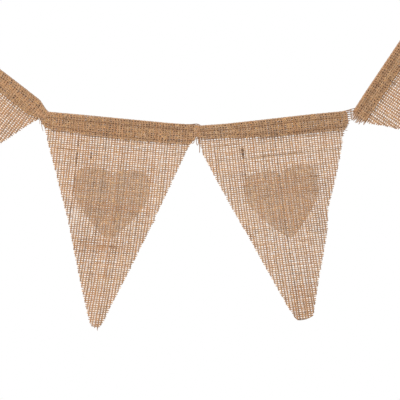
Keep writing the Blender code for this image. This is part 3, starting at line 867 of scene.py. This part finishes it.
def woven(cloth, seed):
    """Every thread of a pennant as a strand: the lengthwise ones over the twine, then the crosswise ones."""
    chance = np.random.default_rng(seed)
    cut = cloth.cut
    depths = np.arange(0, cloth.tall, MM)
    lowest = np.min(cloth.left(depths) - cloth.shift(depths))
    highest = np.max(cloth.right(depths) - cloth.shift(depths))
    hem_run = max(hem.depth for hem in cut.hems) * MM + cloth.slack
    first_row = CROSS_PITCH * (0.25 - math.ceil(hem_run / CROSS_PITCH))
    threads = uneven_places(chance, lowest, highest, LONG_PITCH)
    rows = uneven_places(chance, first_row, cloth.tall + cloth.slack, CROSS_PITCH)
    thread_way = wavering(chance, len(threads), 0.15 * MM, (17 * MM, 43 * MM, 90 * MM))
    row_way = wavering(chance, len(rows), 0.14 * MM, (13 * MM, 37 * MM, 80 * MM))
    thread_spin = wavering(chance, len(threads), 0.11, (7 * MM, 15 * MM, 52 * MM))
    row_spin = wavering(chance, len(rows), 0.13, (6 * MM, 14 * MM, 46 * MM))
    signs = np.where((np.arange(len(threads))[:, None] + np.arange(len(rows))[None]) % 2, 1.0, -1.0)
    strands = []
    cloth.threads, cloth.rows = threads, rows

    def thread_of(flaw):
        depth = (flaw.start + flaw.end) / 2 * MM
        return int(np.argmin(np.abs(threads - (flaw.place * MM - cloth.shift(depth)))))

    def row_of(flaw):
        return int(np.argmin(np.abs(rows - (flaw.place * MM + cloth.slack))))

    def halfway(places, heights):
        """The places of the crossings and of the points between them, with the weave's height at each."""
        both = np.empty(2 * len(places) - 1)
        both[::2] = places
        both[1::2] = (places[1:] + places[:-1]) / 2
        lifts = np.zeros(len(both))
        lifts[::2] = heights
        return both, lifts

    for number, thread in enumerate(threads):
        look = np.arange(-hem_run - MM, cloth.tall + cloth.slack + MM, LOOK_STEP)
        here = thread + thread_way(number, look)
        places, lifts = halfway(rows, signs[number] * WEAVE_HEIGHT)
        tone = np.clip(chance.normal(0.5, 0.08), 0.2, 0.8)
        hue = chance.uniform(0, 1)
        size = cut.dense * np.clip(chance.normal(1, 0.06), 0.8, 1.3)
        for first, last in stretches(cloth.inside(here, look) & ~cloth.pulled_out(here, look)):
            start = look[first] - chance.uniform(0, 0.8) * MM
            end = look[last] + chance.uniform(0, 0.8) * MM
            if end - start < 3 * MM:
                continue
            inner = places[(places > start + 0.3 * MM) & (places < end - 0.3 * MM)]
            runs = np.concatenate([[start], inner, [end]])
            lift = np.interp(runs, places, lifts)
            spots = thread + thread_way(number, runs)
            depth = cloth.depth(runs)
            thicker, darker = flaw_effect(cut.flaws, LONG, number, thread_of, np.where(runs > 0, depth, -depth))
            swell = size * (1 + thread_spin(number, runs)) * (1 + heaped(cut.patches, spots, depth, "amount"))
            strands.append(Strand(
                cloth.at(spots, runs, lift),
                cloth.out_of(spots, runs),
                LONG_WIDE * swell * thicker,
                LONG_THICK * (0.6 + 0.4 * swell) * thicker,
                *cloth.shade(spots, depth, tone, hue, darker, thread_spin(number, runs * 1.7)),
            ))
    for number, row in enumerate(rows):
        depth_here = float(cloth.depth(np.array(row)))
        if depth_here > cloth.tall:
            continue
        shift = cloth.shift(depth_here)
        look = np.arange(lowest - MM, highest + MM, LOOK_STEP)
        places, lifts = halfway(threads, -signs[:, number] * WEAVE_HEIGHT)
        tone = np.clip(chance.normal(0.5, 0.08), 0.2, 0.8)
        hue = chance.uniform(0, 1)
        size = cut.dense * np.clip(chance.normal(1, 0.06), 0.8, 1.3)
        runs_here = row + row_way(number, look)
        for first, last in stretches(cloth.inside(look, runs_here)):
            left_reach, right_reach = fringe_reach(cut.fringes, depth_here)
            start = look[first] - chance.uniform(0, 1.0) * MM - chance.uniform(0.6, 1.1) * left_reach
            end = look[last] + chance.uniform(0, 1.0) * MM + chance.uniform(0.3, 1.1) * right_reach
            if end - start < 2.5 * MM:
                continue
            inner = places[(places > start + 0.3 * MM) & (places < end - 0.3 * MM)]
            spots = np.concatenate([[start], inner, [end]])
            lift = np.interp(spots, places, lifts)
            runs = row + row_way(number, spots)
            depth = cloth.depth(runs)
            thicker, darker = flaw_effect(cut.flaws, CROSS, number, row_of, spots + shift)
            swell = size * (1 + row_spin(number, spots)) * (1 + heaped(cut.patches, spots, depth, "amount"))
            strands.append(Strand(
                cloth.at(spots, runs, lift),
                cloth.out_of(spots, runs),
                CROSS_WIDE * swell * thicker,
                CROSS_THICK * (0.6 + 0.4 * swell) * thicker,
                *cloth.shade(spots, depth, tone, hue, darker, row_spin(number, spots * 1.7)),
            ))
    return strands + [loose_strand(cloth, loose) for loose in cut.loose]


hessian_finish = spun_finish(
    "hessian", (0.092, 0.045, 0.020), (0.26, 0.147, 0.074), (0.455, 0.285, 0.155), (0.345, 0.156, 0.058), 0.08 * MM
)
cloths = {}
for number, (hang, cut) in enumerate(zip(HANGS, CUTS)):
    cloth = Cloth(hang, cut)
    cloths[hang.name] = cloth
    strands = woven(cloth, SEED + number)
    piece = strand_mesh(f"{hang.name}_weave", strands, YARN_SIDES)
    piece.data.materials.append(hessian_finish)
    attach(piece, "root")
    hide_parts(hang.name)

# Hearts
# A heart cut from thin felt lies on the far face of each pennant and shows through the open weave. Its beige is partly
# painted shade, darkened for the shade that the weave casts on it.
PATCH_THICK = 0.8 * MM
PATCH_GAP = 0.5 * MM
HEART_NOTCH = 6 * MM
HEART_SHOULDER = 22 * MM
HEART_SQUARE = 4
HEART_SIDE = 27 * MM
HEART_POINTED = 1.2
HEART_FULL = 0.85
HEART_COLUMNS = 56
HEART_ROWS = 30
Heart = namedtuple("Heart", "name carrier across depth wide tall turn_deg")
HEARTS = (
    Heart("heart_1", "pennant_1", 77, 48, 70, 68, -2.0),
    Heart("heart_2", "pennant_2", 64.4, 49.7, 72, 69, -1.0),
    Heart("heart_3", "pennant_3", 71.3, 50, 71, 68, -4.5),
    Heart("heart_4", "pennant_4", 69, 48, 70, 68, 2.0),
)


def heart_edges(heart, share):
    """How far down the upper and the lower outline of a heart lie, at a share of half its width."""
    off_lobe = np.abs(2 * share - 1)
    notch = HEART_NOTCH * (1 - np.sqrt(np.maximum(1 - off_lobe**2, 0)))
    shoulder = HEART_SHOULDER * (1 - np.maximum(1 - off_lobe**HEART_SQUARE, 0) ** (1 / HEART_SQUARE))
    top = np.where(share < 0.5, notch, shoulder)
    bottom = HEART_SIDE + (heart.tall * MM - HEART_SIDE) * np.maximum(1 - share**HEART_POINTED, 0) ** HEART_FULL
    return top, bottom


def over_heart(heart, across, depth):
    """Whether places of a pennant lie over its heart."""
    turn = math.radians(heart.turn_deg)
    aside, below = across - heart.across * MM, depth - heart.depth * MM
    sideways = aside * math.cos(turn) + below * math.sin(turn)
    down = below * math.cos(turn) - aside * math.sin(turn)
    share = np.minimum(np.abs(sideways) / (heart.wide * MM / 2), 1)
    top, bottom = heart_edges(heart, share)
    return (share < 1) & (down > top) & (down < bottom)


def felt_heart(heart, cloth):
    """A felt heart in the fold of its pennant: two faces of a fine net, joined by a rim."""
    columns = np.sin((np.arange(HEART_COLUMNS + 1) / HEART_COLUMNS - 0.5) * np.pi)
    top, bottom = heart_edges(heart, np.abs(columns))
    row_shares = np.arange(HEART_ROWS + 1)[:, None] / HEART_ROWS
    down = top[None] + (bottom - top)[None] * row_shares
    sideways = np.broadcast_to(columns * heart.wide * MM / 2, down.shape)
    turn = math.radians(heart.turn_deg)
    across = heart.across * MM + sideways * math.cos(turn) - down * math.sin(turn)
    depth = heart.depth * MM + sideways * math.sin(turn) + down * math.cos(turn)
    middle = cloth.folds(across, depth) + cloth.layer(across, depth) + CLOTH_THICK / 2 + PATCH_GAP + PATCH_THICK / 2
    faces_at = [placed(cloth.hang, across, middle + side * PATCH_THICK / 2, depth).reshape(-1, 3) for side in (-1, 1)]
    wide = HEART_COLUMNS + 1
    count = wide * (HEART_ROWS + 1)
    faces = []
    for row in range(HEART_ROWS):
        for column in range(HEART_COLUMNS):
            corner = row * wide + column
            quad = (corner, corner + wide, corner + wide + 1, corner + 1)
            faces.append(quad)
            faces.append(tuple(count + spot for spot in reversed(quad)))
    rim = list(range(wide)) + [row * wide + wide - 1 for row in range(1, HEART_ROWS + 1)]
    rim += [HEART_ROWS * wide + column for column in range(HEART_COLUMNS - 1, -1, -1)]
    rim += [row * wide for row in range(HEART_ROWS - 1, 0, -1)]
    for here, after in zip(rim, rim[1:] + rim[:1]):
        faces.append((here, after, after + count, here + count))
    mesh = bpy.data.meshes.new(heart.name)
    mesh.from_pydata(np.concatenate(faces_at).tolist(), [], faces)
    piece = bpy.data.objects.new(f"{heart.name}_felt", mesh)
    bpy.context.scene.collection.objects.link(piece)
    return piece


# Painted shade: the felt's colours are darkened for the shade that falls on it behind the weave
felt_painted_shade_finish, felt_shader = plain_finish("felt_painted_shade", (0.58, 0.45, 0.37), 0.95)
felt_nodes, felt_links = felt_painted_shade_finish.node_tree.nodes, felt_painted_shade_finish.node_tree.links
felt_place = felt_nodes.new("ShaderNodeTexCoord")
felt_fibres = felt_nodes.new("ShaderNodeTexNoise")
felt_fibres.inputs["Scale"].default_value = 1500
felt_fibres.inputs["Detail"].default_value = 3
felt_cloud = felt_nodes.new("ShaderNodeTexNoise")
felt_cloud.inputs["Scale"].default_value = 330
felt_cloud.inputs["Detail"].default_value = 3
felt_colour = felt_nodes.new("ShaderNodeMix")
felt_colour.data_type = "RGBA"
felt_colour.inputs["A"].default_value = (0.45, 0.345, 0.28, 1)
felt_colour.inputs["B"].default_value = (0.67, 0.52, 0.44, 1)
felt_bump = felt_nodes.new("ShaderNodeBump")
felt_bump.inputs["Strength"].default_value = 0.5
felt_bump.inputs["Distance"].default_value = 0.15 * MM
felt_links.new(felt_place.outputs["Object"], felt_fibres.inputs["Vector"])
felt_links.new(felt_place.outputs["Object"], felt_cloud.inputs["Vector"])
felt_links.new(felt_cloud.outputs["Fac"], felt_colour.inputs["Factor"])
felt_links.new(felt_colour.outputs["Result"], felt_shader.inputs["Base Color"])
felt_links.new(felt_fibres.outputs["Fac"], felt_bump.inputs["Height"])
felt_links.new(felt_bump.outputs["Normal"], felt_shader.inputs["Normal"])
felt_shader.inputs["Subsurface Weight"].default_value = 1.0
felt_shader.inputs["Subsurface Radius"].default_value = (1.0, 0.95, 0.9)
felt_shader.inputs["Subsurface Scale"].default_value = 6.0 * MM
felt_shader.inputs["Sheen Weight"].default_value = 0.3

for heart in HEARTS:
    cloths[heart.carrier].heart = heart
    piece = felt_heart(heart, cloths[heart.carrier])
    piece.data.materials.append(felt_painted_shade_finish)
    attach(piece, "root")
    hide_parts(heart.name)

# Fuzz
# Loose fibres of jute: short wisps that lie across the holes of the weave and longer hairs that stand off its faces.
# Their colour is partly painted light, far paler than the yarn.
WISPS_A_HOLE = 2
WISP_SHARE = 0.89
CASING_WISPS = 0.45
HEART_WISPS = 0.25
WISP_LONG = 2.5 * MM
WISP_WIDE = 0.50 * MM
WISP_LEVEL = 0.10 * MM
HAIR_COUNT = 420
HAIR_LONG = (5 * MM, 14 * MM)
HAIR_STEPS = 7
HAIR_WIDE = 0.14 * MM
HAIR_BEYOND = 1.6 * MM
FIBRE_THICK = 0.07 * MM
FIBRE_SIDES = 3
FIBRE_SEED = 60
FIBRE_COLUMNS = 40


def fibres(cloth, chance, threads, runs, lifts, wide):
    """Strands of fibre through places of a cloth, one to a row."""
    spots = cloth.at(threads, runs, lifts)
    ways = cloth.out_of(threads, runs)
    sizes = wide * chance.uniform(0.5, 1.5, len(spots))
    tones = chance.uniform(0.2, 0.9, len(spots))
    hues = chance.uniform(0, 1, len(spots))
    return [Strand(*made[:3], FIBRE_THICK, *made[3:]) for made in zip(spots, ways, sizes, tones, hues)]


def wisps(cloth, chance):
    """Short fibres across the holes between the threads."""
    across = (cloth.threads[1:] + cloth.threads[:-1]) / 2
    along = (cloth.rows[1:] + cloth.rows[:-1]) / 2
    threads, runs = (np.tile(grid.ravel(), WISPS_A_HOLE) for grid in np.meshgrid(across, along))
    depth = cloth.depth(runs)
    spots = threads + cloth.shift(depth)
    share = np.where(depth < cloth.hem(spots), CASING_WISPS, WISP_SHARE)
    share = np.where(over_heart(cloth.heart, spots, depth), HEART_WISPS, share)
    covered = cloth.inside(threads, runs) & ~cloth.pulled_out(threads, runs)
    kept = covered & (chance.uniform(0, 1, len(threads)) < share)
    count = np.count_nonzero(kept)
    reach = np.array([-0.5, 0.5]) * WISP_LONG * chance.uniform(0.8, 1.1, (count, 1))
    heading = chance.uniform(0, math.pi, (count, 1))
    threads = threads[kept][:, None] + chance.normal(0, 0.2, (count, 1)) * MM + reach * np.cos(heading)
    runs = runs[kept][:, None] + chance.normal(0, 0.15, (count, 1)) * MM + reach * np.sin(heading)
    return fibres(cloth, chance, threads, runs, chance.normal(0, WISP_LEVEL, (count, 2)), WISP_WIDE)


def hairs(cloth, chance):
    """Longer fibres that wander over the faces of a cloth. Those that would reach far beyond an edge are left out."""
    count = HAIR_COUNT * 6
    step = chance.uniform(*HAIR_LONG, (count, 1)) / HAIR_STEPS
    heading = chance.choice([0, math.pi / 2], (count, 1)) + chance.normal(0, 0.5, (count, 1))
    headings = heading + np.cumsum(chance.normal(0, 0.28, (count, HAIR_STEPS)), axis=1)
    threads = chance.uniform(-10, 160, (count, 1)) * MM + np.cumsum(np.cos(headings), axis=1) * step
    runs = chance.uniform(-20 * MM, cloth.tall, (count, 1)) + np.cumsum(np.sin(headings), axis=1) * step
    depth = cloth.depth(runs)
    across = threads + cloth.shift(depth)
    beyond = np.maximum(cloth.left(depth) - across, across - cloth.right(depth))
    beyond = np.maximum(beyond, depth - np.where(runs < 0, cloth.hem(across), cloth.tall))
    kept = np.flatnonzero(beyond.max(axis=1) < HAIR_BEYOND)[:HAIR_COUNT]
    side = chance.choice([-1, 1], (len(kept), 1))
    lifts = side * chance.uniform(0.1, 0.45, (len(kept), HAIR_STEPS)) * MM
    lifts[:, -1:] += side * chance.uniform(0, 0.6, (len(kept), 1)) * MM
    return fibres(cloth, chance, threads[kept], runs[kept], lifts, HAIR_WIDE)


# Painted light: the fibres' own golden tan is brightened far past the yarn's, for the light shining through them across
# the holes
fuzz_painted_light_finish = spun_finish(
    "jute_fuzz_painted_light", (0.80, 0.42, 0.12), (0.95, 0.54, 0.18), (0.98, 0.66, 0.28), (0.96, 0.47, 0.12), 0.03 * MM
)
for number, (name, cloth) in enumerate(cloths.items()):
    chance = np.random.default_rng(FIBRE_SEED + number)
    strands = wisps(cloth, chance) + hairs(cloth, chance)
    piece = strand_mesh(f"{name}_fuzz", strands, FIBRE_SIDES, FIBRE_COLUMNS)
    piece.data.materials.append(fuzz_painted_light_finish)
    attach(piece, "root")

# Stitching
# Two rows of brown lockstitch hold each casing: one close under the twine and one above the hem's raw edge.
STITCH_LONG = 3.1 * MM
STITCH_THICK = 0.55 * MM
STITCH_ROWS = (6.0, -3.4)
STITCH_LIFT = 0.62 * MM
STITCH_SIDES = 5
STITCH_SEED = 90


def stitch_row(cloth, row, side, chance):
    """One thread of a row of lockstitch, on the turned layer (-1) or the main one (1)."""
    ends = (cloth.left(np.array(10 * MM)) + 2.5 * MM, cloth.right(np.array(10 * MM)) - 2.5 * MM)
    holes = np.arange(ends[0], ends[1], STITCH_LONG)
    holes = holes + chance.normal(0, 0.15, len(holes)) * MM
    shares = (0.0, 0.22, 0.5, 0.78)
    lifts = (0.0, 0.85, 1.0, 0.85)
    across = np.concatenate([holes[:-1] + share * np.diff(holes) for share in shares])
    lift = np.repeat(lifts, len(holes) - 1)
    order = np.argsort(across)
    across, lift = across[order], lift[order]
    depth = np.full_like(across, row) if row > 0 else cloth.hem(across) + row
    depth = depth + 0.25 * MM * np.sin(across / (19 * MM) + row * 900)
    run = side * (depth + cloth.slack)
    sink = -cloth.layer(across, depth) + 0.15 * MM
    spots = cloth.at(across - cloth.shift(depth), run, side * 0 + sink + (STITCH_LIFT - sink) * lift)
    return Strand(
        spots, cloth.out_of(across, run), STITCH_THICK, STITCH_THICK * 0.8, 0.45 + 0 * across, 0.5
    )


thread_finish = spun_finish(
    "stitching_thread", (0.08, 0.035, 0.014), (0.17, 0.08, 0.03), (0.30, 0.16, 0.07), (0.24, 0.10, 0.035), 0.05 * MM
)
for number, (name, cloth) in enumerate(cloths.items()):
    chance = np.random.default_rng(STITCH_SEED + number)
    rows = [stitch_row(cloth, row * MM, side, chance) for row in STITCH_ROWS for side in (-1, 1)]
    piece = strand_mesh(f"{name}_stitching", rows, STITCH_SIDES)
    piece.data.materials.append(thread_finish)
    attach(piece, "root")

for name, cloth in cloths.items():
    depths = np.arange(0, cloth.tall, MM)
    widths = cloth.right(depths) - cloth.left(depths)
    hem_tall = float(np.mean(cloth.hem(np.array([20, 50, 80, 110]) * MM)))
